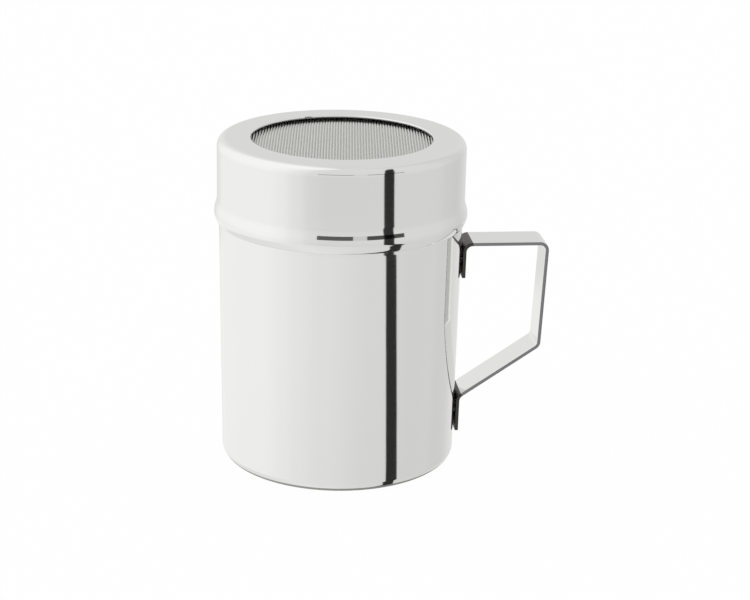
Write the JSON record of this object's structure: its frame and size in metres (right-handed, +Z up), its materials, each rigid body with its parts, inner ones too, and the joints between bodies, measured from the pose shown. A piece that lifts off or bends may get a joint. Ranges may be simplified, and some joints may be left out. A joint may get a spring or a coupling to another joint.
{
  "type": "handled seasoning shaker",
  "caption": "Cylindrical polished steel shaker with a strip handle and a slip-on cap whose round opening holds a wire screen, for dusting sugar, cocoa, flour or ground spice.",
  "frame": {"origin": "centre of the cup's flat resting face", "axes": "+Z up along the cup's axis, +X from the cup's axis towards the handle's grip"},
  "size_m": [0.0952, 0.0716, 0.094],
  "materials": {
    "polished_steel": "mirror-polished stainless steel sheet",
    "plain_steel": "plain mill-finish stainless steel",
    "wire_steel": "drawn stainless steel wire"
  },
  "bodies": {
    "cup_and_handle": {"cup": "polished_steel", "handle": "polished_steel", "spot_welds": "plain_steel"},
    "screen_insert": {"screen_ring": "plain_steel", "wire_screen": "wire_steel"},
    "cap": {"cap": "polished_steel"}
  },
  "joints": [
    {"name": "cap_lift", "type": "slide", "parent": "cup_and_handle", "child": "screen_insert", "axis": [0, 0, 1], "range_m": [0, 0.04]},
    {"name": "cap_turn", "type": "hinge", "parent": "screen_insert", "child": "cap", "pos_m": [0, 0, 0.09], "axis": [0, 0, 1], "continuous": true}
  ]
}
